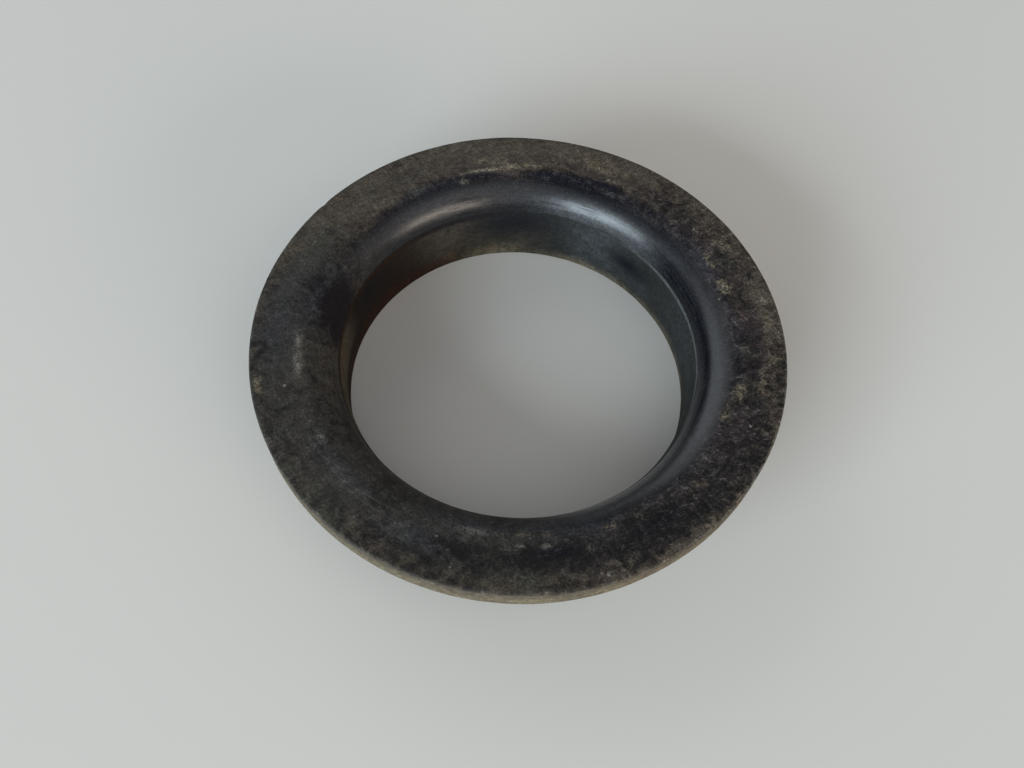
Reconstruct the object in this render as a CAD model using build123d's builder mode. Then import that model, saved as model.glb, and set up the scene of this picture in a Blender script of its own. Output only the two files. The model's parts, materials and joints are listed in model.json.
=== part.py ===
from build123d import *
import os

# Coil spring rubber mount: one ring of moulded rubber, the same section all the way round.
#
# The flange lies between a suspension spring's end coil and the spring seat of the body.
# Its flat top bears on the body, and the coil bears on its underside. The collar reaches down
# inside the coil and centres it. The bore slips over the spigot of the body's spring seat,
# and its bell mouth clears the rounded root of that spigot. The mouth's curve leaves the flat
# top smoothly and meets the bore at a fine crease, where two halves of the mould's core met.
#
# Millimetres. +Z points up, to the body side. The origin is on the axis, in the plane of the
# collar's end, which is what the mount stands on when it is off the car.

# Driving dimensions
BORE_D = 87.5             # straight wall of the bore, over the body's spigot
COLLAR_WALL = 8.25        # thickness of the collar's wall
COLLAR_LENGTH = 18.0      # collar's end to the flange's underside
FLANGE_THICKNESS = 7.0    # what the end coil is cushioned by
FLANGE_REACH = 13.0       # how far the flange stands out past the collar, to carry the coil

MOUTH_WIDTH = 9.5         # bell mouth, from the crease out to the start of the flat top
MOUTH_DEPTH = 8.0         # bell mouth, from the flat top down to the crease
CREASE_EASE = 1.1         # how far the bore's wall eases outwards below the crease
CREASE_EASE_LENGTH = 4.0  # height over which it does so
COIL_ROOT_RADIUS = 3.0    # root where the collar meets the flange, under the coil's wire
LEAD_IN_LENGTH = 3.0      # taper at the collar's end, which finds its way into the coil
LEAD_IN_DEPTH = 1.2       # how much that taper takes off the collar's radius
RIM_UPPER_BREAK = 0.5     # small bevel round the rim, body side
RIM_LOWER_BREAK = 1.0     # small bevel round the rim, coil side
BORE_BREAK = 0.5          # small bevel round the bore at the collar's end

# Derived places
bore_r = BORE_D / 2
crease_r = bore_r + CREASE_EASE
collar_r = bore_r + COLLAR_WALL
rim_r = collar_r + FLANGE_REACH
height = COLLAR_LENGTH + FLANGE_THICKNESS
crease_z = height - MOUTH_DEPTH

# Corners of the half section, each as (distance from the axis, height)
bore_foot = (bore_r, 0)
ease_foot = (bore_r, crease_z - CREASE_EASE_LENGTH)
crease = (crease_r, crease_z)
flat_start = (crease_r + MOUTH_WIDTH, height)
rim_top = (rim_r, height)
rim_foot = (rim_r, COLLAR_LENGTH)
coil_root = (collar_r, COLLAR_LENGTH)
lead_in_top = (collar_r, LEAD_IN_LENGTH)
lead_in_foot = (collar_r - LEAD_IN_DEPTH, 0)


def corner(place):
    """The vertex of the half section that lies at one of the places above."""
    return section.vertices().sort_by_distance(place)[0]


with BuildPart() as spring_rubber_mount:
    with BuildSketch(Plane.XZ) as section:
        with BuildLine():
            Polyline(
                flat_start, rim_top, rim_foot, coil_root, lead_in_top, lead_in_foot,
                bore_foot, ease_foot, crease,
            )
            TangentArc(flat_start, crease, tangent=(-1, 0))
        make_face()
        fillet(corner(coil_root), radius=COIL_ROOT_RADIUS)
        chamfer(corner(rim_top), length=RIM_UPPER_BREAK)
        chamfer(corner(rim_foot), length=RIM_LOWER_BREAK)
        chamfer(corner(bore_foot), length=BORE_BREAK)
    revolve(axis=Axis.Z)

spring_rubber_mount.part.label = "spring_rubber_mount"

os.makedirs("parts", exist_ok=True)
export_step(spring_rubber_mount.part, "parts/spring_rubber_mount.step")
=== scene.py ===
import json
import math

import bpy
from mathutils import Matrix, Vector


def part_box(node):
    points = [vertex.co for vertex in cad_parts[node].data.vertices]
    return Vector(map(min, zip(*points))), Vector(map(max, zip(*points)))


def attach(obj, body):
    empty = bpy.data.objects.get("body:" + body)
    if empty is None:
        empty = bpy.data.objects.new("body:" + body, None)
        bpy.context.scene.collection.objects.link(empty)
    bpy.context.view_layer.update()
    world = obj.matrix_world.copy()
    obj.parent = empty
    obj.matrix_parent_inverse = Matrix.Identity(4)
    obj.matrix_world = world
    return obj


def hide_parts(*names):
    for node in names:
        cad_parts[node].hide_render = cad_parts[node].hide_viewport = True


bl_info = {
    "name": "Coil Spring Rubber Mount",
    "version": (1, 0, 0),
    "blender": (4, 5, 0),
    "location": "View3D > Sidebar > Rubber Mount",
    "description": "A worn moulded rubber ring for the top of a coil spring, in a plain studio",
    "category": "Object",
}

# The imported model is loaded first, because the ring's main sizes come from it.
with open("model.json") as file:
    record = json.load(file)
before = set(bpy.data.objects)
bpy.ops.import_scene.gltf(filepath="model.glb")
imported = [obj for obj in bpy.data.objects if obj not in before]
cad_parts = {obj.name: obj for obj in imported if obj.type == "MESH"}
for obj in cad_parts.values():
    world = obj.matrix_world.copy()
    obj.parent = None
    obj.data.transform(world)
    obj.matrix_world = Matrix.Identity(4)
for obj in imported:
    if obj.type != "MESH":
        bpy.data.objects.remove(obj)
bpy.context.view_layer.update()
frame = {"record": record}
RING_NODE = "spring_rubber_mount"
RING_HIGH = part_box(RING_NODE)[1]
MOUNTS = {mount["name"]: mount for mount in frame["record"]["mounts"]}

MM = 0.001


# ---------------------------------------------------------------- settings


def length(name, description, metres):
    return bpy.props.FloatProperty(
        name=name, description=description, default=metres, subtype="DISTANCE", unit="LENGTH"
    )


def angle(name, description, degrees):
    return bpy.props.FloatProperty(
        name=name,
        description=description,
        default=math.radians(degrees),
        subtype="ANGLE",
        unit="ROTATION",
    )


def power(name, description, watts):
    return bpy.props.FloatProperty(
        name=name, description=description, default=watts, subtype="POWER", unit="POWER"
    )


def share(name, description, default):
    return bpy.props.FloatProperty(
        name=name, description=description, default=default, min=0.0, max=1.0, subtype="FACTOR"
    )


def colour(name, description, default):
    return bpy.props.FloatVectorProperty(
        name=name, description=description, default=default, subtype="COLOR", size=3, min=0.0, max=1.0
    )


class RubberMountSizes(bpy.types.PropertyGroup):
    """Sizes of the moulded ring."""

    rim_radius: length("Rim radius", "Outer radius of the flange", RING_HIGH.x)
    height: length("Height", "From the end of the collar to the flat of the flange", RING_HIGH.z)
    bore_radius: length("Bore radius", "Radius of the straight hole", MOUNTS["bore"]["dims"]["r_mm"] * MM)
    collar_radius: length(
        "Collar radius",
        "Outer radius of the collar that sits in the coil",
        MOUNTS["coil_collar"]["dims"]["r_mm"] * MM,
    )
    flange_underside: length(
        "Flange underside", "Height of the face that the coil presses on", MOUNTS["coil_face"]["pos_m"][2]
    )
    mouth_width: length(
        "Mouth width", "How far the rolled mouth of the bore runs in across the flange", 9.5 * MM
    )
    mouth_depth: length("Mouth depth", "How far the rolled mouth goes down to its crease", 8.0 * MM)
    crease_ease: length(
        "Crease ease", "How much wider the bore is at the crease than at its foot", 1.1 * MM
    )
    crease_ease_length: length(
        "Ease length", "Length of the bore over which it widens to the crease", 4.0 * MM
    )
    crease_lip: length("Crease lip", "Height of the fine mould line that stands at the crease", 0.14 * MM)
    coil_root_radius: length(
        "Coil root radius", "Round between the collar and the underside of the flange", 3.0 * MM
    )
    lead_in_length: length("Lead-in length", "Length of the taper at the end of the collar", 3.0 * MM)
    lead_in_depth: length("Lead-in depth", "How far the taper goes in at the end of the collar", 1.2 * MM)
    rim_upper_round: length("Upper rim round", "Radius of the worn upper edge of the flange", 0.7 * MM)
    rim_lower_round: length("Lower rim round", "Radius of the lower edge of the flange", 1.2 * MM)
    foot_round: length("Foot round", "Radius of the two edges at the end of the collar", 0.6 * MM)
    grain: length("Face size", "Longest face along the section", 0.95 * MM)
    turns: bpy.props.IntProperty(
        name="Faces round", description="Number of faces round the ring", default=480, min=96
    )
    sag: length(
        "Moulding unevenness", "How far the faces wander from true, as old rubber does", 0.22 * MM
    )
    scuff: length("Scuff depth", "Depth of the small rubbed hollows in the faces", 0.05 * MM)


class RubberMountFinish(bpy.types.PropertyGroup):
    """Colours and wear of the rubber."""

    rubber: colour("Rubber", "Clean black rubber", (0.0068, 0.0054, 0.0064))
    olive_film: colour("Olive film", "Dull olive-grey film on the handled flat", (0.0370, 0.0355, 0.0285))
    cool_film: colour("Cool film", "Blue-grey film in smooth patches", (0.0302, 0.0307, 0.0370))
    plum_film: colour("Plum film", "Thinner purple-grey film", (0.0330, 0.0240, 0.0245))
    brown_film: colour("Brown film", "Brown film on the far side and at the rim", (0.0590, 0.0475, 0.0355))
    stroke: colour("Stroke", "Light grey scratches", (0.1150, 0.1050, 0.0960))
    # This blue-black also paints shade in the turn of the mouth on the far left and in a band of the far
    # mouth.
    blue_black: colour("Blue-black", "The cleanest rubber, blue-black", (0.0048, 0.0049, 0.0092))
    # This dark colour also paints the shade high on the bore wall, under the crease.
    mouth: colour("Mouth", "Rubber of the smooth rolled mouth", (0.0030, 0.0036, 0.0062))
    wall: colour("Bore wall", "Rubber of the bore", (0.0135, 0.0142, 0.0132))
    # Painted sheen: this bluish colour lightens the far right of the bore, the crease line there and the
    # mouth above it, for the rubber's reflection of the bright floor.
    wall_painted_sheen: colour("Bore bloom", "Bluish bloom on the far right of the bore", (0.0500, 0.0550, 0.0580))
    wall_grease: colour("Bore grease", "Dark brown grease, far left of the bore", (0.0145, 0.0075, 0.0040))
    rust: colour("Rust", "Rust wiped off the spring", (0.0320, 0.0115, 0.0048))
    dust: colour("Dust", "Dry road dust", (0.1350, 0.1110, 0.0730))
    pale_dust: colour("Pale dust", "Lightest dust and scuffs", (0.3400, 0.3200, 0.2700))
    rim_dust: colour("Rim dust", "Dust caked on the edge of the flange", (0.1120, 0.0945, 0.0610))
    dust_amount: share("Dust amount", "How much of the flat carries dust", 0.5)
    flat_roughness: share("Flat roughness", "Roughness of the clean rubber on the flat", 0.52)
    mouth_roughness: share(
        "Mouth roughness", "Roughness of the rubber in the rolled mouth, under its bloom", 0.28
    )
    polish: share("Mouth polish", "How much the mouth has been polished by handling", 1.0)
    polish_roughness: share(
        "Polish roughness", "Roughness of the soft bloom over the polished mouth", 0.38
    )
    bump_depth: length("Bump depth", "Depth of the fine pitting", 0.05 * MM)


class RubberMountStudio(bpy.types.PropertyGroup):
    """Floor, lamps and camera."""

    floor: colour("Floor", "Plain pale floor", (0.64, 0.62, 0.575))
    horizon: colour("Horizon", "Light of the room at the horizon", (0.490, 0.500, 0.515))
    zenith: colour("Zenith", "Light of the room overhead", (0.07, 0.07, 0.08))
    window: colour("Window", "Cool light from the front left", (0.76, 0.90, 1.0))
    sky: colour("Sky", "Slightly cool light from behind on the left", (0.88, 0.96, 1.0))
    lamp: colour("Lamp", "Warm light low on the front right", (1.0, 0.87, 0.74))
    window_strength: power("Window power", "Power of the cool light", 220.5)
    lamp_strength: power("Lamp power", "Power of the warm light", 84.6)
    top_strength: power("Top light power", "Power of the broad light above the camera", 22.5)
    back_strength: power(
        "Back light power", "Power of the broad light behind the ring, on the left", 43.2
    )
    camera_distance: length("Camera distance", "From the camera to the point it looks at", 243.9 * MM)
    camera_elevation: angle(
        "Camera elevation", "Height of the camera above the floor, as an angle", 60.25
    )
    camera_heading: angle("Camera heading", "Turn of the view to the right of straight ahead", 4.38)
    camera_roll: angle("Camera roll", "Lean of the camera about its own line of sight", 3.4)
    camera_lens: bpy.props.FloatProperty(
        name="Lens",
        description="Focal length on a 36 mm wide sensor, in millimetres",
        default=32.14,
        min=10.0,
    )


# ---------------------------------------------------------------- ring

# Two points this near to one another are the same point of the section.
TOUCHING = 0.001 * MM
# A corner is found by its place to within this.
CORNER_REACH = 0.02 * MM
# The section's first and last points merge within this once it is spun round.
MERGE_REACH = 0.002 * MM
# Faces of the rolled mouth are shorter than the rest, by this share.
MOUTH_GRAIN_SHARE = 0.6
# Round where the straight bore starts to widen, and of the crease under its lip.
EASE_ROUND = 1.2 * MM
CREASE_ROUND = 0.3 * MM
# The mould line stands off the crease towards the axis and a little upwards.
LIP_DIRECTION = (-1.0, 0.0, 0.45)
# The unevenness fades out below this height, so that the ring stands flat.
TRUE_FOOT_HEIGHT = 4.0 * MM
# Edges sharper than this stay sharp.
SMOOTH_BELOW = math.radians(32.0)

# Small nicks round the rim: bearing in degrees from +X, place across the rim (0 at the top edge,
# 1 at the bottom), width and depth.
NICKS = (
    (-43.0, 0.0, 1.6 * MM, 0.45 * MM),
    (-49.0, 0.2, 1.2 * MM, 0.25 * MM),
    (-118.0, 0.1, 1.4 * MM, 0.25 * MM),
    (-76.0, 0.5, 1.3 * MM, 0.30 * MM),
    (-97.0, 0.6, 1.1 * MM, 0.25 * MM),
    (141.0, 0.1, 1.6 * MM, 0.30 * MM),
    (171.0, 0.7, 1.4 * MM, 0.30 * MM),
    (8.0, 0.4, 1.2 * MM, 0.25 * MM),
)
# A nick nearer to the top edge than this is pressed downwards as well as inwards, by this share.
TOP_EDGE_REACH = 0.3
NICK_DROP = 0.5


def deselect_everything():
    if bpy.context.object and bpy.context.object.mode != "OBJECT":
        bpy.ops.object.mode_set(mode="OBJECT")
    bpy.ops.object.select_all(action="DESELECT")


def pick_vertices(mesh_object, wanted):
    """Selects the vertices for which wanted(place) holds, and nothing else, and stays in edit mode."""
    bpy.ops.object.mode_set(mode="EDIT")
    bpy.ops.mesh.select_mode(type="VERT")
    bpy.ops.mesh.select_all(action="DESELECT")
    bpy.ops.object.mode_set(mode="OBJECT")
    for vertex in mesh_object.data.vertices:
        vertex.select = wanted(vertex.co)
    bpy.ops.object.mode_set(mode="EDIT")


def pick_corner(mesh_object, corner):
    place = Vector((corner[0], 0.0, corner[1]))
    pick_vertices(mesh_object, lambda co: (co - place).length < CORNER_REACH)


def draw_run(start, end):
    """Extrudes the selected end of the section from start to end, both (radius, height)."""
    step = (end[0] - start[0], 0.0, end[1] - start[1])
    bpy.ops.mesh.extrude_region_move(TRANSFORM_OT_translate={"value": step})


def round_corner(ring, corner, radius, segments):
    """Rounds one corner of the section."""
    pick_corner(ring, corner)
    bpy.ops.mesh.bevel(offset_type="OFFSET", offset=radius, segments=segments, affect="VERTICES")


def divide_long_runs(ring, longest):
    """Cuts each long edge of the section into short equal ones."""
    bpy.ops.object.mode_set(mode="OBJECT")
    points = [vertex.co.copy() for vertex in ring.data.vertices]
    runs = [(points[edge.vertices[0]], points[edge.vertices[1]]) for edge in ring.data.edges]
    for one, other in runs:
        cuts = math.ceil((one - other).length / longest) - 1
        if cuts > 0:
            ends = (one, other)
            pick_vertices(ring, lambda co: min((co - end).length for end in ends) < TOUCHING)
            bpy.ops.mesh.subdivide(number_cuts=cuts)


def draw_section(sizes):
    """Draws the closed half section of the ring, corner by corner, in the plane y = 0."""
    bore = sizes.bore_radius
    crease = (bore + sizes.crease_ease, sizes.height - sizes.mouth_depth)
    foot = (bore, 0.0)
    ease_foot = (bore, crease[1] - sizes.crease_ease_length)
    flat_start = (crease[0] + sizes.mouth_width, sizes.height)
    rim_top = (sizes.rim_radius, sizes.height)
    rim_foot = (sizes.rim_radius, sizes.flange_underside)
    coil_root = (sizes.collar_radius, sizes.flange_underside)
    lead_in_top = (sizes.collar_radius, sizes.lead_in_length)
    lead_in_foot = (sizes.collar_radius - sizes.lead_in_depth, 0.0)

    # The rolled mouth is one arc, level where it meets the flat.
    mouth_radius = (sizes.mouth_width**2 + sizes.mouth_depth**2) / (2.0 * sizes.mouth_depth)
    mouth_centre = (flat_start[0], sizes.height - mouth_radius)
    mouth_sweep = math.atan2(sizes.mouth_width, crease[1] - mouth_centre[1])
    mouth_steps = math.ceil(mouth_radius * mouth_sweep / (MOUTH_GRAIN_SHARE * sizes.grain))

    deselect_everything()
    bpy.ops.mesh.primitive_plane_add(size=1.0 * MM, location=(foot[0], 0.0, foot[1]))
    ring = bpy.context.active_object
    ring.name = "moulded_ring"
    ring.data.name = "moulded_ring"
    bpy.ops.object.transform_apply(location=True, rotation=False, scale=False)
    bpy.ops.object.mode_set(mode="EDIT")
    bpy.ops.mesh.select_all(action="SELECT")
    bpy.ops.mesh.merge(type="CENTER")

    draw_run(foot, ease_foot)
    draw_run(ease_foot, crease)
    bpy.ops.mesh.spin(
        steps=mouth_steps,
        angle=mouth_sweep,
        center=(mouth_centre[0], 0.0, mouth_centre[1]),
        axis=(0.0, -1.0, 0.0),
    )
    outside = (flat_start, rim_top, rim_foot, coil_root, lead_in_top, lead_in_foot)
    for start, end in zip(outside, outside[1:]):
        draw_run(start, end)
    inner_end = bore + TOUCHING
    outer_end = lead_in_foot[0] - TOUCHING
    pick_vertices(ring, lambda co: co.z < TOUCHING and (co.x < inner_end or co.x > outer_end))
    bpy.ops.mesh.edge_face_add()

    for corner, radius, segments in (
        (rim_top, sizes.rim_upper_round, 4),
        (rim_foot, sizes.rim_lower_round, 4),
        (coil_root, sizes.coil_root_radius, 8),
        (lead_in_top, 0.8 * sizes.lead_in_depth, 3),
        (lead_in_foot, sizes.foot_round, 3),
        (foot, sizes.foot_round, 3),
        (ease_foot, EASE_ROUND, 3),
    ):
        round_corner(ring, corner, radius, segments)
    divide_long_runs(ring, sizes.grain)
    return ring, crease


def raise_crease_lip(ring, crease, lip):
    """Lifts the corner of the crease into the fine line that the mould's parting leaves."""
    round_corner(ring, crease, CREASE_ROUND, 4)
    bpy.ops.object.mode_set(mode="OBJECT")
    place = Vector((crease[0], 0.0, crease[1]))
    nearest = min(ring.data.vertices, key=lambda vertex: (vertex.co - place).length)
    middle = nearest.co.copy()
    pick_vertices(ring, lambda co: (co - middle).length < TOUCHING)
    outward = Vector(LIP_DIRECTION).normalized() * lip
    bpy.ops.transform.translate(value=tuple(outward))


def turn_section(ring, turns):
    """Spins the section into the whole ring and closes it."""
    bpy.ops.object.mode_set(mode="EDIT")
    bpy.ops.mesh.select_all(action="SELECT")
    bpy.ops.mesh.spin(steps=turns, angle=2.0 * math.pi, center=(0.0, 0.0, 0.0), axis=(0.0, 0.0, 1.0))
    bpy.ops.mesh.select_all(action="SELECT")
    bpy.ops.mesh.remove_doubles(threshold=MERGE_REACH)
    bpy.ops.mesh.normals_make_consistent(inside=False)
    bpy.ops.object.mode_set(mode="OBJECT")


def press_uneven(ring, sizes):
    """Gives the faces the slow wander and the small rubbed hollows of old moulded rubber."""
    free = ring.vertex_groups.new(name="above_the_foot")
    for vertex in ring.data.vertices:
        free.add([vertex.index], min(1.0, vertex.co.z / TRUE_FOOT_HEIGHT), "REPLACE")

    for name, size, depth, strength in (
        ("moulding_wander", 26.0 * MM, 2, sizes.sag),
        ("rubbed_hollows", 3.2 * MM, 3, sizes.scuff),
    ):
        pattern = bpy.data.textures.new(name, "CLOUDS")
        pattern.noise_scale = size
        pattern.noise_depth = depth
        push = ring.modifiers.new(name, "DISPLACE")
        push.texture = pattern
        push.texture_coords = "LOCAL"
        push.vertex_group = free.name
        push.mid_level = 0.5
        push.strength = strength
        bpy.ops.object.modifier_apply(modifier=name)


def press_nicks(ring, sizes):
    """Presses the few small nicks that the rim carries, each softly deeper towards its middle."""
    rim = sizes.height - sizes.flange_underside
    for bearing, across, width, depth in NICKS:
        turn = math.radians(bearing)
        cosine, sine = math.cos(turn), math.sin(turn)
        place = Vector((sizes.rim_radius * cosine, sizes.rim_radius * sine, sizes.height - across * rim))
        drop = NICK_DROP if across < TOP_EDGE_REACH else 0.0
        inward = Vector((-cosine, -sine, -drop)).normalized()
        for vertex in ring.data.vertices:
            near = 1.0 - (vertex.co - place).length / width
            if near > 0.0:
                vertex.co += inward * depth * near * near * (3.0 - 2.0 * near)


class RUBBER_MOUNT_OT_ring(bpy.types.Operator):
    """Models the moulded rubber ring from its section"""

    bl_idname = "rubber_mount.ring"
    bl_label = "Mould Ring"

    def execute(self, context):
        sizes = context.scene.rubber_mount_sizes
        ring, crease = draw_section(sizes)
        raise_crease_lip(ring, crease, sizes.crease_lip)
        turn_section(ring, sizes.turns)
        press_uneven(ring, sizes)
        press_nicks(ring, sizes)
        bpy.ops.object.shade_smooth_by_angle(angle=SMOOTH_BELOW)
        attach(ring, "root")
        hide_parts(RING_NODE)
        return {"FINISHED"}


# ---------------------------------------------------------------- finish

# Distances round the ring are measured at this radius, in millimetres.
MEAN_RADIUS = 50.0

# Heights and radii, in millimetres, over which one region of the ring fades in or out.
FLAT_HEIGHT = (22.8, 23.4)
FLAT_START = (49.2, 52.8)
MOUTH_END = (55.0, 51.0)
ABOVE_CREASE = (16.9, 17.4)
BELOW_CREASE = (17.3, 16.9)
BORE_REACH = (46.4, 45.4)
RIM_REACH = (64.0, 64.7)
RIM_TOP = (24.9, 24.2)
RIM_FOOT = (17.4, 18.2)
UNDERSIDE_HEIGHT = (18.6, 18.0)
OUTSIDE_BORE = (46.0, 47.0)

# Roughness of what lies on the rubber, and of the faces that no hand has polished.
FILM_ROUGHNESS = 0.72
DUST_ROUGHNESS = 0.95
DULL_MOUTH_ROUGHNESS = 0.60
WALL_ROUGHNESS = 0.80
OUTSIDE_ROUGHNESS = 0.90


# How the nodes of a tree are laid out: so many to a row, so far apart.
NODES_IN_ROW = 12
NODE_SPACING = (190.0, 260.0)


class Nodes:
    """Adds the nodes of one tree, each fed by numbers, vectors or other nodes' sockets."""

    def __init__(self, tree):
        self.tree = tree
        self.count = 0

    def new(self, kind, label=""):
        node = self.tree.nodes.new(kind)
        node.label = label
        row, column = divmod(self.count, NODES_IN_ROW)
        node.location = (column * NODE_SPACING[0], -row * NODE_SPACING[1])
        self.count += 1
        return node

    def feed(self, socket, value):
        if isinstance(value, bpy.types.NodeSocket):
            self.tree.links.new(value, socket)
        else:
            socket.default_value = value

    def math(self, operation, one, other=0.0, third=None, label=""):
        node = self.new("ShaderNodeMath", label)
        node.operation = operation
        self.feed(node.inputs[0], one)
        self.feed(node.inputs[1], other)
        if third is not None:
            self.feed(node.inputs[2], third)
        return node.outputs[0]

    def ramp(self, value, low, high, label=""):
        """0 at low and 1 at high, with soft ends; low may be the larger."""
        node = self.new("ShaderNodeMapRange", label)
        node.interpolation_type = "SMOOTHSTEP"
        self.feed(node.inputs["Value"], value)
        node.inputs["From Min"].default_value = min(low, high)
        node.inputs["From Max"].default_value = max(low, high)
        node.inputs["To Min"].default_value = 0.0 if low < high else 1.0
        node.inputs["To Max"].default_value = 1.0 if low < high else 0.0
        return node.outputs["Result"]

    def noise(self, vector, size, detail=2.0, roughness=0.5, distortion=0.0, label=""):
        """A noise whose features are about size millimetres across."""
        node = self.new("ShaderNodeTexNoise", label)
        self.feed(node.inputs["Vector"], vector)
        node.inputs["Scale"].default_value = 1.0 / size
        node.inputs["Detail"].default_value = detail
        node.inputs["Roughness"].default_value = roughness
        node.inputs["Distortion"].default_value = distortion
        return node.outputs["Fac"]

    def strokes(self, vector, lie, long, wide, label=""):
        """A noise drawn out into strokes, long by wide in millimetres, that lie at an angle in degrees."""
        turn = self.new("ShaderNodeMapping", label)
        turn.vector_type = "TEXTURE"
        self.feed(turn.inputs["Vector"], vector)
        turn.inputs["Rotation"].default_value = (0.0, 0.0, math.radians(lie))
        turn.inputs["Scale"].default_value = (long, wide, wide)
        return self.noise(turn.outputs[0], 1.0, 1.0, 0.5, 0.0, label)

    def drawn(self, east, north, across, long, wide, label=""):
        """A noise that follows the ring, long round it by wide across it, in millimetres."""
        place = self.new("ShaderNodeCombineXYZ", label)
        self.feed(place.inputs[0], self.times(east, MEAN_RADIUS / long))
        self.feed(place.inputs[1], self.times(north, MEAN_RADIUS / long))
        self.feed(place.inputs[2], self.times(across, 1.0 / wide))
        return self.noise(place.outputs[0], 1.0, 2.0, 0.6, 0.0, label)

    def cells(self, vector, size, label=""):
        """The distance to the nearest of many points, which lie about size millimetres apart."""
        node = self.new("ShaderNodeTexVoronoi", label)
        self.feed(node.inputs["Vector"], vector)
        node.inputs["Scale"].default_value = 1.0 / size
        return node.outputs["Distance"]

    def colours(self, amount, one, other, label=""):
        """One colour where the amount is 0, and the other where it is 1."""
        node = self.new("ShaderNodeMix", label)
        node.data_type = "RGBA"
        self.feed(node.inputs["Factor"], amount)
        self.feed(node.inputs[6], one if isinstance(one, bpy.types.NodeSocket) else (*one, 1.0))
        self.feed(node.inputs[7], other if isinstance(other, bpy.types.NodeSocket) else (*other, 1.0))
        return node.outputs[2]

    def numbers(self, amount, one, other, label=""):
        """One number where the amount is 0, and the other where it is 1."""
        node = self.new("ShaderNodeMix", label)
        node.data_type = "FLOAT"
        self.feed(node.inputs["Factor"], amount)
        self.feed(node.inputs[2], one)
        self.feed(node.inputs[3], other)
        return node.outputs[0]

    def over(self, below, above, amount, cover, label=""):
        """A colour laid over another by an amount, of which 1 covers it by the share given."""
        return self.colours(self.times(amount, cover), below, above, label)

    def scaled(self, vector, scale, label=""):
        node = self.new("ShaderNodeVectorMath", label)
        node.operation = "SCALE"
        self.feed(node.inputs[0], vector)
        self.feed(node.inputs["Scale"], scale)
        return node.outputs["Vector"]

    def most(self, *values):
        result = values[0]
        for value in values[1:]:
            result = self.math("MAXIMUM", result, value)
        return result

    def times(self, *values):
        result = values[0]
        for value in values[1:]:
            result = self.math("MULTIPLY", result, value)
        return result

    def total(self, *weighted):
        """The sum of value times weight."""
        result = self.times(*weighted[0])
        for value, weight in weighted[1:]:
            result = self.math("MULTIPLY_ADD", value, weight, result)
        return result


# What a soft patch is told, in this order.
PATCH_INPUTS = ("X", "Y", "Across", "Bearing", "Place across", "Reach round", "Reach across", "Strength")


def make_patch_group():
    """A soft patch on the ring: how near a place is to one bearing and one place across, 0 to 1."""
    group = bpy.data.node_groups.new("ring patch", "ShaderNodeTree")
    for name in PATCH_INPUTS:
        group.interface.new_socket(name, in_out="INPUT", socket_type="NodeSocketFloat")
    group.interface.new_socket("Amount", in_out="OUTPUT", socket_type="NodeSocketFloat")
    nodes = Nodes(group)
    given = nodes.new("NodeGroupInput").outputs
    cosine = nodes.math("COSINE", given["Bearing"])
    sine = nodes.math("SINE", given["Bearing"])
    along = nodes.math("SUBTRACT", nodes.times(given["Y"], cosine), nodes.times(given["X"], sine))
    facing = nodes.math("ADD", nodes.times(given["X"], cosine), nodes.times(given["Y"], sine))
    round_away = nodes.times(nodes.math("ARCTAN2", along, facing), MEAN_RADIUS)
    round_share = nodes.math("DIVIDE", round_away, given["Reach round"])
    across_away = nodes.math("SUBTRACT", given["Across"], given["Place across"])
    across_share = nodes.math("DIVIDE", across_away, given["Reach across"])
    round_square = nodes.times(round_share, round_share)
    across_square = nodes.times(across_share, across_share)
    squares = nodes.math("ADD", round_square, across_square)
    bell = nodes.math("EXPONENT", nodes.times(squares, -1.0))
    result = nodes.new("NodeGroupOutput")
    nodes.feed(result.inputs["Amount"], nodes.times(bell, given["Strength"]))
    return group


# Where dust has stuck to the flat: bearing in degrees from +X, radius, reach round, reach across
# (all in millimetres) and strength.
DUST_PATCHES = (
    (97.0, 53.4, 9.0, 0.7, 0.78),
    (86.5, 54.6, 5.0, 0.6, 0.66),
    (98.0, 56.8, 4.5, 2.0, 0.42),
    (66.0, 58.5, 8.0, 2.6, 0.40),
    (71.5, 53.0, 2.4, 0.9, 0.42),
    (77.5, 51.0, 1.6, 0.7, 0.36),
    (102.0, 50.2, 4.0, 0.8, 0.50),
    (60.0, 55.2, 5.0, 1.2, 0.40),
    (14.5, 53.7, 2.4, 1.6, 0.74),
    (24.0, 54.0, 4.0, 1.0, 0.42),
    (33.0, 55.5, 3.0, 2.2, 0.40),
    (2.0, 61.5, 4.0, 2.0, 0.22),
    (-18.5, 54.4, 2.6, 1.8, 0.52),
    (-25.0, 52.3, 3.0, 1.2, 0.48),
    (-14.0, 59.0, 3.5, 2.0, 0.36),
    (-48.0, 56.3, 3.0, 1.8, 0.40),
    (-44.0, 63.6, 12.0, 1.5, 0.34),
    (-88.0, 61.5, 16.0, 2.4, 0.14),
    (-63.0, 54.5, 4.5, 1.6, 0.42),
    (-60.0, 59.5, 3.5, 2.4, 0.34),
    (-70.0, 52.7, 2.0, 1.0, 0.42),
    (-92.0, 51.6, 6.0, 0.8, 0.48),
    (-112.0, 52.5, 6.0, 1.2, 0.28),
    (136.0, 54.2, 6.0, 1.0, 0.34),
    (27.0, 60.5, 4.0, 2.4, 0.30),
    (47.0, 60.5, 6.0, 2.2, 0.26),
    (-8.0, 62.0, 4.0, 1.8, 0.34),
    (-30.0, 61.0, 4.0, 2.0, 0.28),
    (-167.5, 63.2, 2.6, 1.2, 0.85),
)
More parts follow.
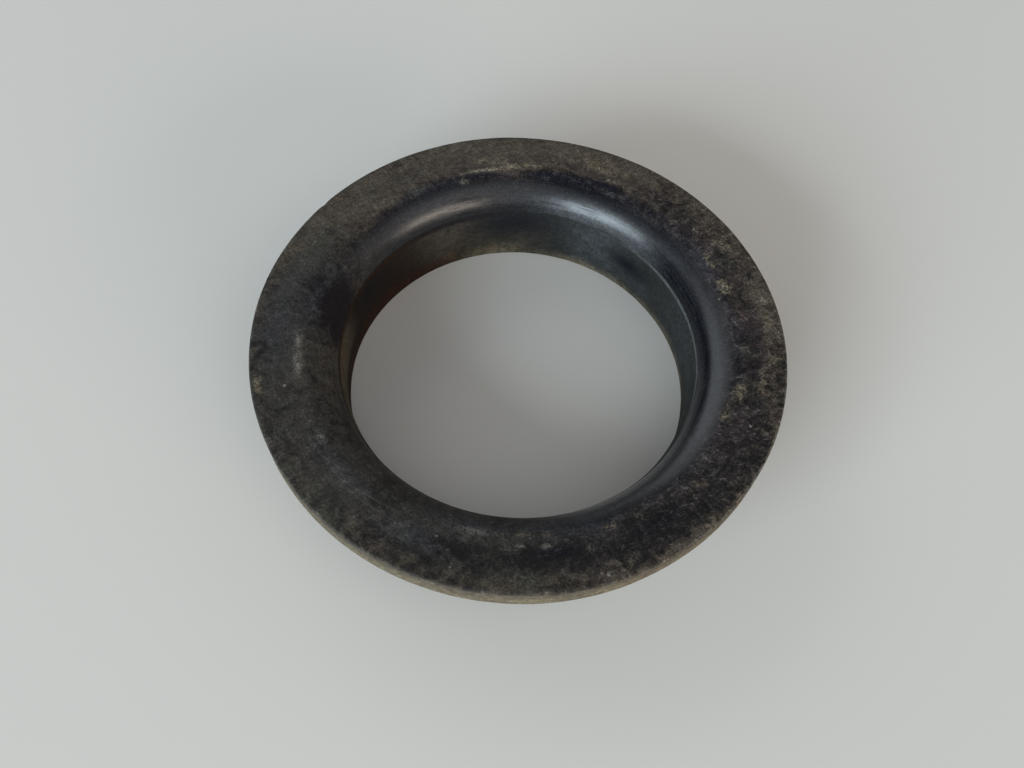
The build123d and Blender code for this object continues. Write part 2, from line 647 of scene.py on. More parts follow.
# Where hands and the body have left the film thickest and smoothest, in the same order of values.
FILM_PATCHES = (
    (-132.0, 55.0, 30.0, 10.0, 0.46),
    (-93.0, 62.0, 24.0, 2.6, 0.42),
    (-58.0, 64.0, 14.0, 1.0, 0.80),
    (-168.0, 55.0, 16.0, 8.0, 0.46),
    (160.0, 58.0, 14.0, 5.0, 0.45),
    (72.0, 60.5, 14.0, 5.0, 0.50),
    (105.0, 59.5, 18.0, 4.5, 0.60),
    (132.0, 58.0, 16.0, 5.0, 0.55),
    (4.0, 60.0, 14.0, 4.0, 0.34),
    (-101.0, 51.5, 20.0, 3.0, 1.05),
    (-72.0, 51.3, 14.0, 2.8, 0.70),
    (-36.0, 60.0, 12.0, 5.0, 0.25),
)
# Where the rubber has stayed cleanest and blue-black, in the same order of values.
# Some of these paint shade: those at 166 and 173 degrees darken the turn of the mouth into the crease on
# the far left, and those at 62, 76 and 100 degrees darken the band of the far mouth that mirrors the dark
# room overhead.
CLEAN_AND_SHADE_PATCHES = (
    (166.0, 47.0, 8.0, 2.8, 1.00),
    (163.0, 53.0, 5.0, 4.0, 0.42),
    (76.0, 51.7, 10.0, 1.7, 1.10),
    (47.0, 52.4, 8.0, 2.0, 0.55),
    (100.0, 51.4, 6.0, 1.0, 0.80),
    (62.0, 52.8, 6.0, 1.4, 0.80),
    (-84.0, 56.2, 9.0, 2.5, 0.62),
    (-105.0, 57.0, 6.0, 2.5, 0.36),
    (-60.0, 57.0, 9.0, 3.2, 0.62),
    (-40.0, 58.5, 6.0, 3.0, 0.40),
    (-8.0, 57.0, 5.0, 1.6, 0.22),
    (8.0, 57.5, 5.0, 1.8, 0.22),
    (18.0, 61.5, 4.0, 1.6, 0.30),
    (44.0, 57.0, 9.0, 4.0, 0.36),
    (-45.0, 60.2, 14.0, 3.2, 0.34),
    (-29.0, 61.8, 6.0, 2.4, 0.26),
    (173.0, 45.6, 5.0, 1.1, 1.20),
    (132.0, 51.5, 8.0, 1.2, 0.40),
)
# Long fine scratches, in the same order of values.
SCRATCHED_PATCHES = (
    (-130.0, 54.5, 12.0, 2.8, 1.00),
    (-104.0, 52.5, 10.0, 2.2, 0.80),
    (-40.0, 53.0, 12.0, 3.0, 0.60),
)
# Where the film is blue-grey, in the same order of values. The patch at -104 degrees, on the near mouth,
# also paints the grey-blue sheen that the mouth shows there.
COOL_FILM_AND_SHEEN_PATCHES = (
    (178.0, 59.0, 10.0, 5.0, 0.55),
    (165.0, 58.0, 8.0, 6.0, 0.30),
    (-104.0, 50.5, 12.0, 2.4, 0.80),
    (-76.0, 50.0, 14.0, 3.4, 1.00),
    (-46.0, 50.0, 12.0, 3.0, 1.00),
    (167.0, 50.5, 10.0, 3.5, 1.00),
    (112.0, 51.0, 14.0, 1.8, 0.90),
    (60.0, 51.0, 10.0, 1.8, 0.80),
    (28.0, 52.0, 12.0, 2.0, 0.80),
    (-4.0, 52.5, 12.0, 2.0, 0.60),
    (-112.0, 57.0, 8.0, 3.0, 0.70),
    (-140.0, 54.0, 12.0, 3.0, 0.40),
)
# The lightest scuffs, in the same order of values.
PALE_SCUFFS = (
    (-178.0, 53.3, 2.4, 0.8, 0.75),
    (-171.8, 53.5, 3.4, 0.9, 0.95),
    (-149.0, 53.6, 1.6, 0.7, 0.6),
    (14.5, 53.7, 1.2, 0.8, 0.6),
    (9.0, 61.8, 1.0, 0.4, 1.0),
    (99.0, 53.2, 3.6, 0.45, 0.75),
    (91.0, 54.0, 2.4, 0.35, 0.60),
    (84.0, 54.4, 0.5, 0.4, 0.9),
    (-85.5, 54.6, 0.8, 0.5, 0.7),
    (-91.5, 54.2, 0.9, 0.4, 0.6),
    (-103.0, 51.6, 4.5, 0.8, 0.62),
    (-76.0, 56.5, 0.7, 0.9, 0.5),
    (105.5, 50.9, 0.9, 0.7, 0.7),
)
# Patches on the bore wall: bearing, height, reach round, reach up and strength.
# Where the bore wall gets its painted sheen, a reflection of the bright floor painted as a bluish film.
PAINTED_SHEEN_PATCHES = (
    (59.0, 8.0, 10.0, 16.0, 1.00),
    (40.0, 4.5, 9.0, 5.0, 0.50),
    (8.0, 6.0, 16.0, 14.0, 0.50),
)
GREY_PATCHES = (
    (116.0, 9.5, 12.0, 8.0, 1.10),
    (84.0, 6.0, 8.0, 5.0, 0.40),
)
LOW_DUST_PATCHES = (
    (97.0, 0.8, 10.0, 3.8, 1.60),
    (114.0, 3.0, 5.0, 3.0, 0.30),
    (60.0, 0.2, 20.0, 2.2, 1.50),
    (15.0, 0.2, 30.0, 2.2, 1.20),
)
# Painted shade high on the bore wall, under the crease, laid in the mouth's dark colour.
PAINTED_WALL_SHADE_PATCHES = (
    (90.0, 14.0, 13.0, 4.4, 0.95),
    (45.0, 11.2, 7.0, 3.0, 1.20),
    (152.0, 13.0, 12.0, 6.0, 0.80),
)


class RingPlaces:
    """Where a point of the ring lies, in millimetres, and what all the layers of the finish share."""

    def __init__(self, nodes):
        self.nodes = nodes
        self.patch_group = make_patch_group()
        own_place = nodes.new("ShaderNodeTexCoord").outputs["Object"]
        self.place = nodes.scaled(own_place, 1.0 / MM, "to millimetres")
        split = nodes.new("ShaderNodeSeparateXYZ")
        nodes.feed(split.inputs[0], self.place)
        self.x, self.y, self.z = split.outputs
        squares = nodes.math("ADD", nodes.times(self.x, self.x), nodes.times(self.y, self.y))
        self.radius = nodes.math("SQRT", squares, label="radius")
        self.east = nodes.math("DIVIDE", self.x, self.radius)
        self.north = nodes.math("DIVIDE", self.y, self.radius)
        self.across = nodes.math("ADD", self.radius, self.z)
        self.find_regions()
        self.find_sides()
        self.add_noises()

    def find_regions(self):
        nodes, radius, z = self.nodes, self.radius, self.z
        self.above_crease = nodes.ramp(z, *ABOVE_CREASE, "above the crease")
        self.top = nodes.times(nodes.ramp(z, *FLAT_HEIGHT), nodes.ramp(radius, *FLAT_START, "flat starts"))
        self.mouth = nodes.times(nodes.ramp(radius, *MOUTH_END, "mouth"), self.above_crease)
        self.wall = nodes.times(nodes.ramp(z, *BELOW_CREASE, "wall"), nodes.ramp(radius, *BORE_REACH))
        rim_height = (nodes.ramp(z, *RIM_TOP), nodes.ramp(z, *RIM_FOOT))
        self.rim = nodes.times(nodes.ramp(radius, *RIM_REACH, "rim"), *rim_height)
        under_height = nodes.ramp(z, *UNDERSIDE_HEIGHT, "under the flange")
        self.under = nodes.times(under_height, nodes.ramp(radius, *OUTSIDE_BORE))

    def find_sides(self):
        nodes, east, north = self.nodes, self.east, self.north
        self.right = nodes.math("MULTIPLY_ADD", east, 0.5, 0.5, label="right side")
        self.far = nodes.math("MULTIPLY_ADD", north, 0.5, 0.5, label="far side")
        far_right = nodes.total((east, 0.80), (north, 0.35))
        self.scratched = nodes.ramp(far_right, -0.55, 0.25, "scratched side")
        # The mouth is polished on the far right half, and as dull as the flat on the near left.
        self.polished = nodes.ramp(nodes.total((east, 0.82), (north, 0.57)), -0.62, -0.20, "polished side")

    def add_noises(self):
        nodes, place = self.nodes, self.place
        self.broad = nodes.noise(place, 17.0, 2.0, 0.5, 0.4, "broad")
        self.blotch = nodes.noise(place, 5.5, 5.0, 0.62, 1.8, "blotch")
        self.speck = nodes.noise(place, 1.5, 4.0, 0.70, 0.5, "speck")
        self.fine = nodes.noise(place, 0.5, 2.0, 0.6, 0.0, "fine")
        self.hue = nodes.noise(place, 11.0, 2.0, 0.5, 1.2, "hue")
        self.streak = nodes.drawn(self.east, self.north, self.across, 9.0, 0.5, "round the ring")

    def scatter(self, patches, across, label):
        """The strongest of several patches, 0 away from them all."""
        nodes = self.nodes
        found = None
        for bearing, *place_reach_and_strength in patches:
            patch = nodes.new("ShaderNodeGroup", label)
            patch.node_tree = self.patch_group
            values = (self.x, self.y, across, math.radians(bearing), *place_reach_and_strength)
            for name, value in zip(PATCH_INPUTS, values):
                nodes.feed(patch.inputs[name], value)
            amount = patch.outputs["Amount"]
            found = amount if found is None else nodes.most(found, amount)
        return found


def lay_film(nodes, at, finish):
    """A film of wandering hue over black rubber, on the flat: its colour, amount, and the cleanest patches,
    some of which paint shade.
    """
    handled = at.scatter(FILM_PATCHES, at.radius, "handled patch")
    clean_and_shade = at.scatter(CLEAN_AND_SHADE_PATCHES, at.radius, "clean patch")
    # One cool patch, on the near mouth, also paints its grey-blue sheen.
    cool = at.scatter(COOL_FILM_AND_SHEEN_PATCHES, at.radius, "cool patch")
    wear = nodes.total(
        (at.broad, 0.30),
        (at.blotch, 0.72),
        (at.speck, 0.38),
        (at.fine, 0.16),
        (at.far, 0.165),
        (at.scratched, -0.035),
        (handled, 0.26),
        (clean_and_shade, -0.38),
    )
    amount = nodes.ramp(wear, 0.64, 1.00, "film amount")

    brown_side = nodes.ramp(nodes.total((at.east, 0.80), (at.north, -0.35)), -0.60, 0.10, "brown side")
    rimward = nodes.ramp(at.radius, 57.5, 63.0, "towards the rim")
    rimward = nodes.times(rimward, nodes.numbers(brown_side, 0.35, 1.0))
    browner = nodes.total((at.far, 0.50), (rimward, 0.55), (at.hue, 0.75), (cool, -0.50))
    browner = nodes.ramp(browner, 0.60, 1.00, "browner")
    plum = nodes.total((at.hue, 1.0), (at.speck, 0.4), (at.scratched, 0.12))
    plum = nodes.times(nodes.ramp(plum, 0.58, 0.80), nodes.numbers(at.scratched, 0.35, 1.0))
    film = nodes.colours(plum, finish.olive_film, finish.plum_film, "olive or plum")
    film = nodes.colours(cool, film, finish.cool_film, "cool film")
    film = nodes.colours(browner, film, finish.brown_film, "film colour")

    near_side = nodes.ramp(at.north, -0.20, -0.80, "near side")
    bare_rubber = nodes.over(finish.rubber, finish.olive_film, near_side, 0.14, "bare rubber")
    colour_so_far = nodes.colours(amount, bare_rubber, film, "film over rubber")
    # The blackest patches carry the painted shade as well as the cleanest rubber.
    blackest = nodes.ramp(nodes.total((clean_and_shade, 1.0), (at.speck, 0.3)), 0.40, 1.00, "blackest")
    return nodes.colours(blackest, colour_so_far, finish.blue_black, "blackest patches"), amount, clean_and_shade


def scratch_flat(nodes, at, finish, flat_colour):
    """Short scratches, thickest on the right, brush marks across the flat, and lines wiped round it."""
    scratches = nodes.most(
        nodes.ramp(nodes.strokes(at.place, 8.0, 2.2, 0.30, "level strokes"), 0.62, 0.76),
        nodes.ramp(nodes.strokes(at.place, -42.0, 1.8, 0.28, "falling strokes"), 0.64, 0.78),
        nodes.ramp(nodes.strokes(at.place, 63.0, 1.8, 0.30, "rising strokes"), 0.64, 0.78),
    )
    scratched_more = nodes.numbers(at.scratched, 0.30, 1.0)
    scratches = nodes.times(scratches, nodes.ramp(at.blotch, 0.36, 0.58), scratched_more)
    brushed = nodes.drawn(at.east, at.north, at.radius, 0.55, 5.0, "across the flat")
    brush = nodes.times(nodes.ramp(brushed, 0.50, 0.68), nodes.ramp(at.hue, 0.38, 0.56))
    brush = nodes.times(brush, nodes.most(at.scratched, at.far))
    long_lines = nodes.times(
        nodes.ramp(nodes.strokes(at.place, -33.0, 14.0, 0.34, "long scratches"), 0.56, 0.66),
        at.scatter(SCRATCHED_PATCHES, at.radius, "scratched patch"),
    )
    wiped = nodes.times(nodes.ramp(at.streak, 0.56, 0.66), nodes.ramp(at.blotch, 0.46, 0.58))
    for marks, share_of_stroke, label in (
        (scratches, 0.50, "scratches"),
        (brush, 0.10, "brush marks"),
        (long_lines, 0.35, "long lines"),
        (wiped, 0.20, "wiped lines"),
    ):
        flat_colour = nodes.over(flat_colour, finish.stroke, marks, share_of_stroke, label)
    return flat_colour


def dust_flat(nodes, at, finish, flat_colour, clean_and_shade):
    """Dust in clusters on the flat: the colour with it, and its amount."""
    patches = at.scatter(DUST_PATCHES, at.radius, "dust patch")
    cluster = nodes.total(
        (at.broad, 0.30),
        (at.blotch, 0.65),
        (at.speck, 0.50),
        (at.right, 0.06),
        (patches, 0.55),
        (clean_and_shade, -0.40),
    )
    dust_start = 1.06 - 0.42 * finish.dust_amount
    amount = nodes.ramp(cluster, dust_start, dust_start + 0.24, "dust clusters")
    grains = nodes.ramp(nodes.total((at.fine, 0.6), (at.speck, 0.4)), 0.36, 0.60, "grains of dust")
    amount = nodes.times(amount, grains)
    return nodes.over(flat_colour, finish.dust, amount, 0.75, "dust"), amount


def roll_mouth(nodes, at, finish, flat_colour, clean_and_shade, haze):
    """The rolled mouth: smooth blue-black rubber where it is polished, like the flat where it is dull, with
    a painted sheen by the crease on the far right.
    """
    smooth_colour = nodes.over(finish.mouth, finish.olive_film, haze, 0.20, "smooth mouth")
    dull_share = nodes.numbers(nodes.ramp(nodes.most(clean_and_shade, 0.0), 0.2, 0.8), 0.97, 0.05)
    dull_colour = nodes.colours(dull_share, finish.rubber, flat_colour, "dull mouth")
    mouth_colour = nodes.colours(at.polished, dull_colour, smooth_colour, "mouth")
    # Painted sheen, not wear: the mouth next to the crease on the far right takes the bore's bluish colour,
    # for the soft reflection it shows there.
    painted_crease_sheen = nodes.times(nodes.ramp(at.north, 0.45, 0.75), nodes.ramp(at.east, 0.00, 0.40))
    painted_crease_sheen = nodes.times(painted_crease_sheen, nodes.ramp(at.radius, 46.8, 45.2))
    return nodes.over(mouth_colour, finish.wall_painted_sheen, painted_crease_sheen, 0.60, "worn lip")


def line_bore(nodes, at, finish):
    """The bore's wall: dull, greasy brown on the far left, with rust and dust along its foot, painted sheen
    on the far right and painted shade under the crease.
    """
    grease = nodes.ramp(at.east, -0.44, -0.76, "greasy side")
    patchy = nodes.ramp(nodes.total((at.blotch, 0.6), (at.speck, 0.4)), 0.38, 0.62)
    patchy = nodes.numbers(patchy, 0.45, 1.0)
    # Painted sheen on the far right of the bore, where the wall mirrors the bright floor.
    bloom = nodes.times(at.scatter(PAINTED_SHEEN_PATCHES, at.z, "bloom patch"), patchy)
    grey = nodes.times(at.scatter(GREY_PATCHES, at.z, "grey patch"), patchy)
    # Painted shade high on the bore wall under the crease.
    soot = at.scatter(PAINTED_WALL_SHADE_PATCHES, at.z, "soot patch")
    low_dust = nodes.times(at.scatter(LOW_DUST_PATCHES, at.z, "low dust patch"), patchy)
    rust = nodes.times(nodes.ramp(at.east, -0.22, -0.42), nodes.ramp(at.z, 7.0, 1.5))
    rust = nodes.times(rust, nodes.numbers(patchy, 0.4, 0.9))
    left = nodes.times(
        nodes.ramp(nodes.total((at.east, -0.98), (at.north, -0.20)), 0.86, 0.97, "left strip"),
        nodes.ramp(at.z, 6.0, 9.5),
    )
    # Painted highlight: a fine light line along the crease on the right, where the lip catches the light,
    # with a little dust colour over it.
    lip = nodes.times(nodes.ramp(at.z, 16.0, 16.4), nodes.ramp(at.east, 0.55, 0.90))
    # Painted shade: a dark line just under the crease on the far and left sides, where the lip shades the
    # wall.
    groove = nodes.times(nodes.ramp(at.z, 15.2, 16.2, "groove"), nodes.ramp(at.east, 0.12, -0.20))
    painted_shade_line_colour = nodes.colours(grease, finish.rubber, finish.wall_grease, "groove colour")
    wall_colour = finish.wall
    for layer, amount, share_of_layer, label in (
        (finish.brown_film, grey, 0.80, "grey film"),
        (finish.wall_grease, grease, 0.80, "grease"),
        (finish.wall_painted_sheen, bloom, 0.85, "bloom"),
        (finish.mouth, soot, 0.85, "soot"),
        (finish.dust, left, 0.32, "left strip"),
        (finish.rust, rust, 0.90, "rust"),
        (finish.dust, low_dust, 0.75, "low dust"),
        (finish.wall_painted_sheen, lip, 1.0, "lip"),
        (finish.dust, lip, 0.14, "dust on the lip"),
        (painted_shade_line_colour, groove, 0.90, "groove"),
    ):
        wall_colour = nodes.over(wall_colour, layer, amount, share_of_layer, label)
    return wall_colour


def coat_underside(nodes, at, finish):
    """The underside and the collar: film with road dust. Gives their colour, and the film's own."""
    film = nodes.colours(nodes.ramp(at.hue, 0.35, 0.65), finish.olive_film, finish.plum_film, "film below")
    film_amount = nodes.ramp(nodes.total((at.broad, 0.6), (at.blotch, 0.6), (at.speck, 0.2)), 0.62, 0.92)
    under_colour = nodes.colours(film_amount, finish.wall, film)
    foot_dust = nodes.ramp(nodes.total((at.blotch, 0.6), (at.speck, 0.4)), 0.44, 0.66)
    foot_dust = nodes.times(foot_dust, nodes.ramp(at.z, 4.5, 0.5))
    ledge_dust = nodes.times(nodes.ramp(at.z, 17.4, 18.0), nodes.ramp(at.blotch, 0.46, 0.66))
    road_dust = nodes.most(foot_dust, ledge_dust)
    return nodes.over(under_colour, finish.dust, road_dust, 0.45, "dust below"), film


def cake_rim(nodes, at, finish, under_film):
    """The rim's band: caked dust with dark pits, bare in places away from the front."""
    caked = nodes.ramp(nodes.total((at.blotch, 0.5), (at.streak, 0.5)), 0.30, 0.62)
    caked = nodes.times(caked, nodes.numbers(nodes.ramp(at.z, 21.0, 24.2), 1.0, 0.25))
    pits = nodes.times(nodes.ramp(at.speck, 0.60, 0.70), nodes.ramp(at.blotch, 0.42, 0.6))
    bare = nodes.total((at.broad, 0.6), (at.blotch, 0.5), (at.north, 0.12))
    bare = nodes.times(nodes.ramp(bare, 0.50, 0.66, "bare rim"), nodes.ramp(at.north, -0.70, -0.30))
    rim_colour = nodes.colours(caked, finish.brown_film, finish.rim_dust, "caked dust")
    rim_colour = nodes.over(rim_colour, finish.olive_film, pits, 0.7, "pits")
    return nodes.over(rim_colour, under_film, bare, 0.75, "bare rim")


def mottle_faces(nodes, at, shiny, base):
    """Mottles every face at several sizes, most strongly on the scratched side of the flat."""
    mottle = nodes.total(
        (nodes.noise(at.place, 3.6, 2.0, 0.6, 1.2, "large mottle"), 2.0),
        (nodes.strokes(at.place, 24.0, 2.8, 0.8, "one smear"), 2.0),
        (nodes.strokes(at.place, -52.0, 2.4, 0.7, "other smear"), 2.0),
        (nodes.noise(at.place, 0.5, 1.0, 0.6, 0.0, "small mottle"), 3.6),
    )
    # Half the sum of the weights above, which makes the mottle darken as much as it lightens.
    middle = 4.8
    strength = nodes.numbers(at.scratched, 0.40, 0.64)
    for region, strength_there in (
        (nodes.ramp(at.north, 0.55, 0.95), 0.50),
        (shiny, 0.50),
        (nodes.most(at.wall, at.under), 0.34),
        (at.rim, 0.40),
    ):
        strength = nodes.numbers(region, strength, strength_there)
    mottle = nodes.times(nodes.math("SUBTRACT", mottle, middle), strength)
    return nodes.scaled(base, nodes.math("EXPONENT", mottle), "mottle over the colour")


def find_pale_marks(nodes, at):
    """Where pale scuffs, stray specks and the worn edge of the rim lie over the rest."""
    upper = nodes.most(at.top, at.mouth)
    scuffs = at.scatter(PALE_SCUFFS, at.radius, "pale scuff")
    grain = nodes.ramp(nodes.total((at.speck, 0.5), (at.fine, 0.5)), 0.38, 0.60)
    scuffs = nodes.times(scuffs, grain, upper)
    small_dots = nodes.ramp(nodes.cells(at.place, 2.4), 0.13, 0.06, "small dots")
    small_dots = nodes.times(small_dots, nodes.ramp(at.blotch, 0.52, 0.60))
    dots = nodes.times(nodes.ramp(nodes.cells(at.place, 6.5), 0.070, 0.035), nodes.ramp(at.hue, 0.44, 0.50))
    dots = nodes.times(nodes.most(dots, nodes.times(small_dots, 0.6)), at.top)
    worn_edge = nodes.times(nodes.ramp(at.radius, 64.3, 64.7), nodes.ramp(at.z, 24.1, 24.5))
    worn_edge = nodes.times(worn_edge, nodes.ramp(at.speck, 0.40, 0.60), nodes.ramp(at.east, 0.40, 0.80))
    return nodes.most(scuffs, nodes.times(dots, 0.75), nodes.times(worn_edge, 0.40))


def find_roughness(nodes, at, finish, film_amount, dust_amount, haze):
    """Dull all over, least so in the polished mouth."""
    film_rough = nodes.numbers(film_amount, finish.flat_roughness, FILM_ROUGHNESS)
    flat_rough = nodes.numbers(dust_amount, film_rough, DUST_ROUGHNESS)
    mouth_rough = nodes.numbers(haze, finish.mouth_roughness - 0.05, finish.mouth_roughness + 0.10)
    mouth_rough = nodes.numbers(at.polished, DULL_MOUTH_ROUGHNESS, mouth_rough)
    rough = nodes.numbers(at.top, mouth_rough, flat_rough)
    rough = nodes.numbers(at.wall, rough, WALL_ROUGHNESS)
    return nodes.numbers(nodes.most(at.rim, at.under), rough, OUTSIDE_ROUGHNESS)


def polish_mouth(nodes, at, finish, haze, pale, dust_amount):
    """The soft bloom over the polish of the mouth, which reaches further out on the right."""
    reach = nodes.math("MULTIPLY_ADD", nodes.ramp(at.east, 0.45, 0.85), -2.4, at.radius)
    beside_crease = nodes.ramp(at.radius, 47.8, 46.5, "next to the crease")
    beside_crease = nodes.times(beside_crease, nodes.ramp(at.east, 0.66, 0.90))
    lines = nodes.times(
        nodes.ramp(at.streak, 0.54, 0.62, "drawn lines"),
        nodes.ramp(at.radius, 48.0, 47.0),
        nodes.ramp(at.north, 0.80, 0.97),
    )
    dulled = nodes.times(nodes.ramp(at.east, 0.50, 0.64), nodes.ramp(at.east, 0.88, 0.76))
    worn = nodes.ramp(nodes.total((at.fine, 0.5), (at.speck, 0.5)), 0.36, 0.62)
    covered = nodes.most(pale, dust_amount)
    return nodes.times(
        nodes.ramp(reach, 50.9, 48.3, "inner mouth"),
        at.above_crease,
        at.polished,
        nodes.numbers(haze, finish.polish, 0.8 * finish.polish),
        nodes.numbers(beside_crease, 1.0, 0.05),
        nodes.numbers(lines, 1.0, 0.25),
        nodes.numbers(dulled, 1.0, 0.80),
        nodes.numbers(worn, 0.68, 1.0),
        nodes.math("SUBTRACT", 1.0, covered),
    )


def press_relief(nodes, at, finish, shiny, dust_amount):
    """Fine relief: pitting all over the worn faces, drawn lines round the mouth."""
    pitting = nodes.total((at.fine, 0.5), (at.speck, 0.6), (dust_amount, 0.5))
    bump = nodes.new("ShaderNodeBump", "fine relief")
    bump.inputs["Strength"].default_value = 1.0
    bump.inputs["Distance"].default_value = finish.bump_depth
    drawn_lines = nodes.times(at.streak, 0.35)
    nodes.feed(bump.inputs["Height"], nodes.numbers(shiny, pitting, drawn_lines))
    return bump.outputs[0]


def make_black_rubber(finish):
    """The rubber, from the flat inwards and down, then round the outside, with its wear over it, and
    painted sheen and shade in the mouth and the bore.
    """
    material = bpy.data.materials.new("black_rubber")
    material.use_nodes = True
    material.node_tree.nodes.clear()
    nodes = Nodes(material.node_tree)
    at = RingPlaces(nodes)

    flat_colour, film_amount, clean_and_shade = lay_film(nodes, at, finish)
    flat_colour = scratch_flat(nodes, at, finish, flat_colour)
    flat_colour, dust_amount = dust_flat(nodes, at, finish, flat_colour, clean_and_shade)
    haze = nodes.total((at.streak, 0.7), (at.fine, 0.2), (at.broad, 0.3))
    haze = nodes.ramp(haze, 0.50, 0.78, "haze in the mouth")
    mouth_colour = roll_mouth(nodes, at, finish, flat_colour, clean_and_shade, haze)
    wall_colour = line_bore(nodes, at, finish)
    under_colour, under_film = coat_underside(nodes, at, finish)
    rim_colour = cake_rim(nodes, at, finish, under_film)

    base = nodes.colours(at.top, mouth_colour, flat_colour, "flat")
    for region, region_colour, label in (
        (at.wall, wall_colour, "bore"),
        (at.under, under_colour, "underside"),
        (at.rim, rim_colour, "rim"),
    ):
        base = nodes.colours(region, base, region_colour, label)
    shiny = nodes.times(nodes.ramp(at.radius, 52.6, 49.6), at.above_crease, at.polished)
    base = mottle_faces(nodes, at, shiny, base)
    pale = find_pale_marks(nodes, at)
    base = nodes.over(base, finish.pale_dust, pale, 0.55, "pale marks")

    shader = nodes.new("ShaderNodeBsdfPrincipled")
    nodes.feed(shader.inputs["Base Color"], base)
    roughness = find_roughness(nodes, at, finish, film_amount, dust_amount, haze)
    nodes.feed(shader.inputs["Roughness"], roughness)
    nodes.feed(shader.inputs["Normal"], press_relief(nodes, at, finish, shiny, dust_amount))
    nodes.feed(shader.inputs["Coat Weight"], polish_mouth(nodes, at, finish, haze, pale, dust_amount))
    shader.inputs["Coat Roughness"].default_value = finish.polish_roughness
    shader.inputs["IOR"].default_value = 1.5
    shader.inputs["Specular IOR Level"].default_value = 0.14
    output = nodes.new("ShaderNodeOutputMaterial")
    nodes.feed(output.inputs["Surface"], shader.outputs[0])
    return material


class RUBBER_MOUNT_OT_finish(bpy.types.Operator):
    """Gives the ring its worn black rubber"""

    bl_idname = "rubber_mount.finish"
    bl_label = "Finish Ring"

    def execute(self, context):
        material = make_black_rubber(context.scene.rubber_mount_finish)
        ring = bpy.data.objects["moulded_ring"]
        ring.data.materials.clear()
        ring.data.materials.append(material)
        return {"FINISHED"}


# ---------------------------------------------------------------- studio

# The floor is a disc so wide, in metres, that its edge is out of sight from above.
FLOOR_RADIUS = 2.2
FLOOR_SIDES = 96
# The lamps point at the middle of the ring, and the camera at the floor just left of its middle.
LAMP_TARGET = (0.0, 0.0, 0.015)
CAMERA_TARGET = (-1.2 * MM, 0.0, 0.0)
# The lens is given for a sensor this wide, in millimetres.
SENSOR_WIDTH = 36.0
NEAREST_IN_VIEW = 10.0 * MM
WHITE = (1.0, 1.0, 1.0)


def plain_material(name, tint, roughness):
    material = bpy.data.materials.new(name)
    material.use_nodes = True
    shader = material.node_tree.nodes["Principled BSDF"]
    shader.inputs["Base Color"].default_value = (*tint, 1.0)
    shader.inputs["Roughness"].default_value = roughness
    shader.inputs["Specular IOR Level"].default_value = 0.2
    return material


def aim(thing, target):
    direction = Vector(target) - thing.location
    thing.rotation_euler = direction.to_track_quat("-Z", "Y").to_euler()


def hang_light(name, heading, elevation, distance, width, depth, watts, tint):
    """A soft rectangular light, with its heading measured from straight in front towards the right."""
    heading = math.radians(heading)
    elevation = math.radians(elevation)
    deselect_everything()
    bpy.ops.object.light_add(type="AREA")
    light = bpy.context.active_object
    light.name = name
    light.data.name = name
    light.data.shape = "RECTANGLE"
    light.data.size = width
    light.data.size_y = depth
    light.data.energy = watts
    light.data.color = tint
    light.location = (
        distance * math.cos(elevation) * math.sin(heading),
        -distance * math.cos(elevation) * math.cos(heading),
        distance * math.sin(elevation),
    )
    aim(light, LAMP_TARGET)


def lay_floor(studio):
    deselect_everything()
    bpy.ops.mesh.primitive_circle_add(vertices=FLOOR_SIDES, radius=FLOOR_RADIUS, fill_type="NGON")
    floor = bpy.context.active_object
    floor.name = "studio_floor"
    floor.data.name = "studio_floor"
    floor.data.materials.append(plain_material("pale_floor", studio.floor, 0.8))


def light_room(studio):
    """Gives the room its even light, darker overhead."""
    world = bpy.data.worlds.new("plain_room")
    world.use_nodes = True
    world.node_tree.nodes.clear()
    nodes = Nodes(world.node_tree)
    direction = nodes.new("ShaderNodeTexCoord").outputs["Generated"]
    split = nodes.new("ShaderNodeSeparateXYZ")
    nodes.feed(split.inputs[0], direction)
    height = nodes.ramp(split.outputs[2], 0.55, 0.90, "horizon to zenith")
    background = nodes.new("ShaderNodeBackground")
    nodes.feed(background.inputs["Color"], nodes.colours(height, studio.horizon, studio.zenith))
    output = nodes.new("ShaderNodeOutputWorld")
    nodes.feed(output.inputs["Surface"], background.outputs[0])
    bpy.context.scene.world = world


def hang_lamps(studio):
    """Hangs the lamps: heading and elevation in degrees; distance, width and depth in metres."""
    for name, heading, elevation, distance, width, depth, watts, tint in (
        ("window_light", -43.0, 15.0, 3.6, 2.52, 1.86, studio.window_strength, studio.window),
        ("low_lamp", 39.0, 10.0, 3.6, 2.46, 1.26, studio.lamp_strength, studio.lamp),
        ("top_light", 38.0, 58.0, 3.9, 3.15, 3.15, studio.top_strength, WHITE),
        ("back_light", -140.0, 24.0, 4.5, 4.20, 3.15, studio.back_strength, studio.sky),
    ):
        hang_light(name, heading, elevation, distance, width, depth, watts, tint)


def place_camera(studio):
    """Looks down at the ring, with the heading measured from straight ahead towards the right."""
    elevation = studio.camera_elevation
    heading = studio.camera_heading
    forward = Vector(
        (
            math.cos(elevation) * math.sin(heading),
            math.cos(elevation) * math.cos(heading),
            -math.sin(elevation),
        )
    )
    level_right = Vector((math.cos(heading), -math.sin(heading), 0.0))
    level_up = level_right.cross(forward)
    turn = studio.camera_roll
    right = level_right * math.cos(turn) + level_up * math.sin(turn)
    up = right.cross(forward)
    place = Vector(CAMERA_TARGET) - forward * studio.camera_distance
    turned = Matrix((right, up, -forward)).transposed().to_4x4()
    turned.translation = place
    deselect_everything()
    bpy.ops.object.camera_add()
    camera = bpy.context.active_object
    camera.name = "camera"
    camera.data.name = "camera"
    camera.matrix_world = turned
    camera.data.sensor_width = SENSOR_WIDTH
    camera.data.lens = studio.camera_lens
    camera.data.clip_start = NEAREST_IN_VIEW
    bpy.context.scene.camera = camera


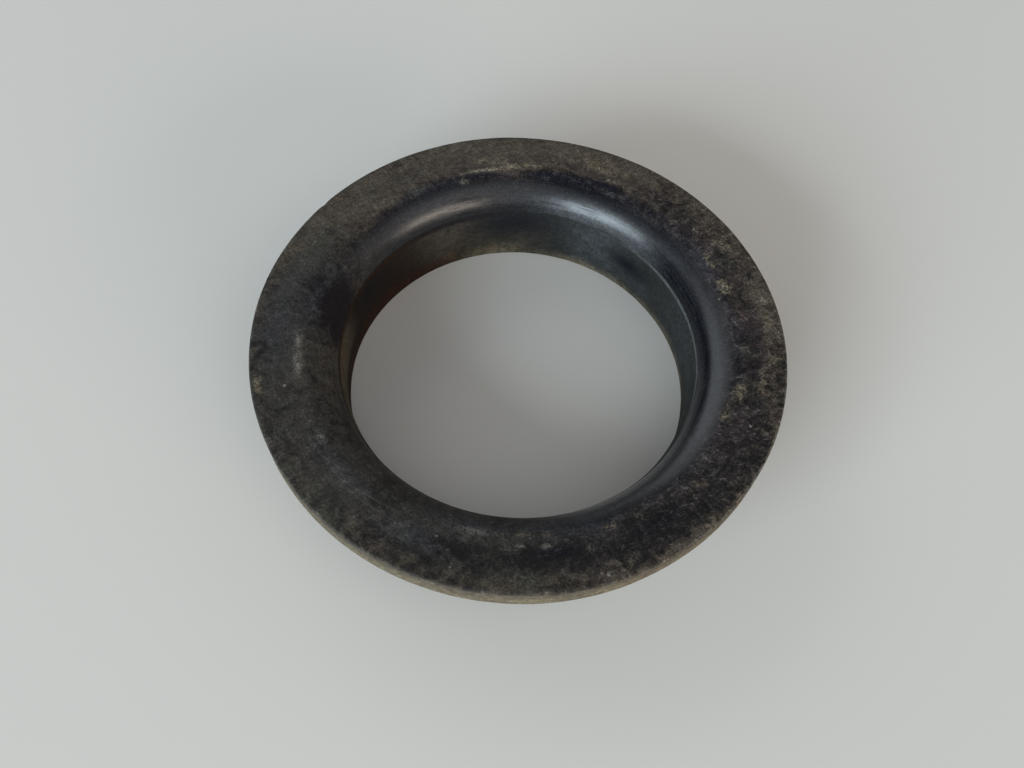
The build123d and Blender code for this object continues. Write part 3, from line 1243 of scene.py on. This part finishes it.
class RUBBER_MOUNT_OT_studio(bpy.types.Operator):
    """Lays the plain floor and sets the lights and the camera"""

    bl_idname = "rubber_mount.studio"
    bl_label = "Set Studio"

    def execute(self, context):
        studio = context.scene.rubber_mount_studio
        lay_floor(studio)
        light_room(studio)
        hang_lamps(studio)
        place_camera(studio)
        context.scene.view_settings.view_transform = "Standard"
        return {"FINISHED"}


class RUBBER_MOUNT_PT_panel(bpy.types.Panel):
    """Lists the steps that build the mount"""

    bl_idname = "RUBBER_MOUNT_PT_panel"
    bl_label = "Rubber Mount"
    bl_space_type = "VIEW_3D"
    bl_region_type = "UI"
    bl_category = "Rubber Mount"

    def draw(self, context):
        layout = self.layout
        for title, settings, step in (
            ("Ring", context.scene.rubber_mount_sizes, RUBBER_MOUNT_OT_ring),
            ("Finish", context.scene.rubber_mount_finish, RUBBER_MOUNT_OT_finish),
            ("Studio", context.scene.rubber_mount_studio, RUBBER_MOUNT_OT_studio),
        ):
            box = layout.box()
            box.label(text=title)
            for name in settings.__annotations__:
                box.prop(settings, name)
            box.operator(step.bl_idname)


CLASSES = (
    RubberMountSizes,
    RubberMountFinish,
    RubberMountStudio,
    RUBBER_MOUNT_OT_ring,
    RUBBER_MOUNT_OT_finish,
    RUBBER_MOUNT_OT_studio,
    RUBBER_MOUNT_PT_panel,
)


def register():
    for each in CLASSES:
        bpy.utils.register_class(each)
    bpy.types.Scene.rubber_mount_sizes = bpy.props.PointerProperty(type=RubberMountSizes)
    bpy.types.Scene.rubber_mount_finish = bpy.props.PointerProperty(type=RubberMountFinish)
    bpy.types.Scene.rubber_mount_studio = bpy.props.PointerProperty(type=RubberMountStudio)


def unregister():
    del bpy.types.Scene.rubber_mount_studio
    del bpy.types.Scene.rubber_mount_finish
    del bpy.types.Scene.rubber_mount_sizes
    for each in reversed(CLASSES):
        bpy.utils.unregister_class(each)


def main():
    register()
    bpy.ops.rubber_mount.ring()
    bpy.ops.rubber_mount.finish()
    bpy.ops.rubber_mount.studio()


if __name__ == "__main__":
    main()
